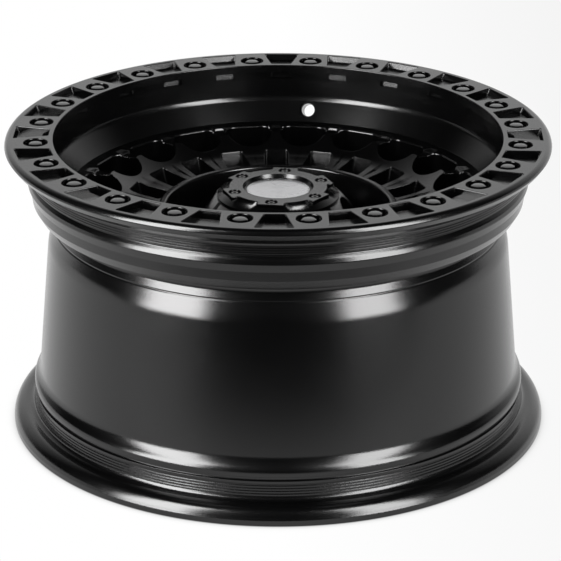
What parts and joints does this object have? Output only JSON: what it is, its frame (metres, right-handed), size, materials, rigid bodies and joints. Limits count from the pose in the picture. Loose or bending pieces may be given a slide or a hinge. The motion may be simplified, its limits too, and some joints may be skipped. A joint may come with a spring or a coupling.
{
  "type": "alloy wheel",
  "caption": "Black off-road alloy car wheel with a bolted-look outer ring, a web of oval holes and windows, a deep-set hub and a screwed-on centre cap.",
  "frame": {"origin": "centre of the inboard flange's foot, on the floor", "axes": "+Z along the wheel's axis, towards the outboard face; +Y towards the valve hole"},
  "size_m": [0.4736, 0.4736, 0.261],
  "materials": {
    "casting": "satin black paint",
    "bolts": "black coated",
    "cap": "satin black",
    "emblem": "dark satin, bare",
    "screws": "black coated"
  },
  "bodies": {
    "root": {"wheel_casting": "casting", "ring_bolts": "bolts", "centre_cap": "cap", "cap_emblem_disc": "emblem", "cap_screws": "screws"}
  },
  "joints": []
}
